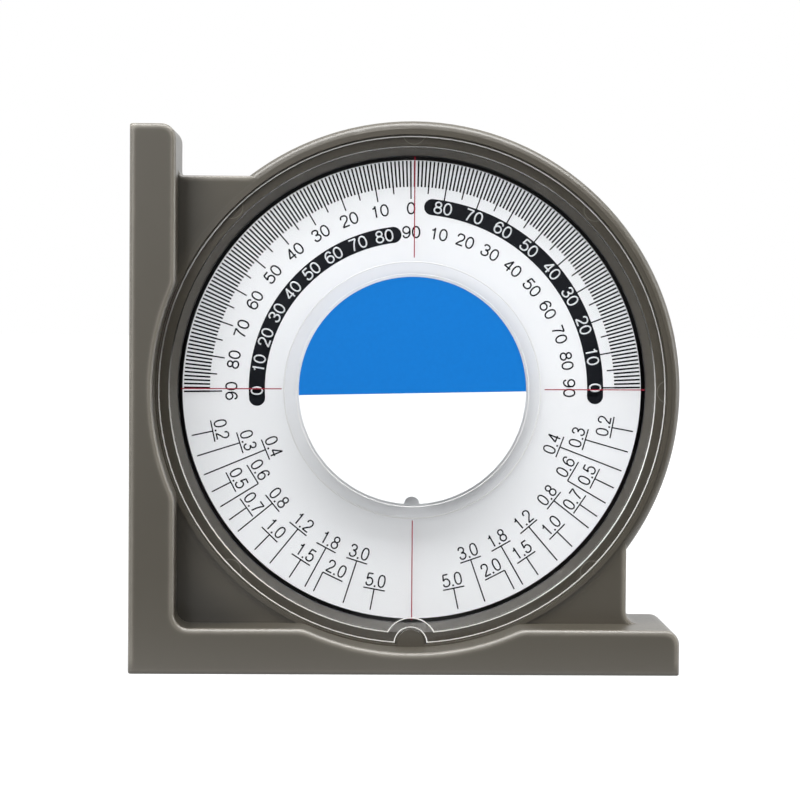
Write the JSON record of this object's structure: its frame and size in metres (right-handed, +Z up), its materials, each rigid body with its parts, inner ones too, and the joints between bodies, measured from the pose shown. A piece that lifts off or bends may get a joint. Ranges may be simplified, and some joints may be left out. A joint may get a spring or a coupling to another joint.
{
  "type": "inclinometer",
  "caption": "Dial inclinometer: a weighted round dial behind a clear lens, in a plastic housing with a magnetic base leg and a magnetic side leg.",
  "frame": {"origin": "on the base face, under the middle of the whole outline", "axes": "+X to the right and +Z up as the reader sees the dial, +Y from the dial to the rear cover"},
  "size_m": [0.1, 0.028, 0.0998],
  "materials": {
    "housing_plastic": "satin moulded",
    "clear_lens": "clear polished",
    "label": "printed film",
    "dial_white": "printed",
    "brass": "turned",
    "screw_steel": "zinc plated",
    "spring_steel": "tempered",
    "plate_steel": "stamped",
    "magnet": "sintered ferrite"
  },
  "bodies": {
    "case": {"housing": "housing_plastic", "rear_cover": "housing_plastic", "cover_screws": "screw_steel", "lens": "clear_lens", "centre_label": "label", "front_bearing": "brass", "rear_bearing": "brass", "base_magnet_left_front": "magnet", "base_magnet_left_rear": "magnet", "base_magnet_right_front": "magnet", "base_magnet_right_rear": "magnet", "base_keeper_left": "plate_steel", "base_keeper_right": "plate_steel", "side_magnet_lower_front": "magnet", "side_magnet_lower_rear": "magnet", "side_magnet_upper_front": "magnet", "side_magnet_upper_rear": "magnet", "side_keeper_lower": "plate_steel", "side_keeper_upper": "plate_steel"},
    "dial": {"dial_plate": "dial_white", "dial_hub": "brass", "hub_push_nut": "spring_steel", "dial_spindle": "screw_steel", "counterweight": "plate_steel", "counterweight_screws": "screw_steel"}
  },
  "joints": [
    {"name": "dial_swing", "type": "hinge", "parent": "case", "child": "dial", "pos_m": [0.001, 0, 0.0508], "axis": [0, -1, 0], "continuous": true}
  ]
}
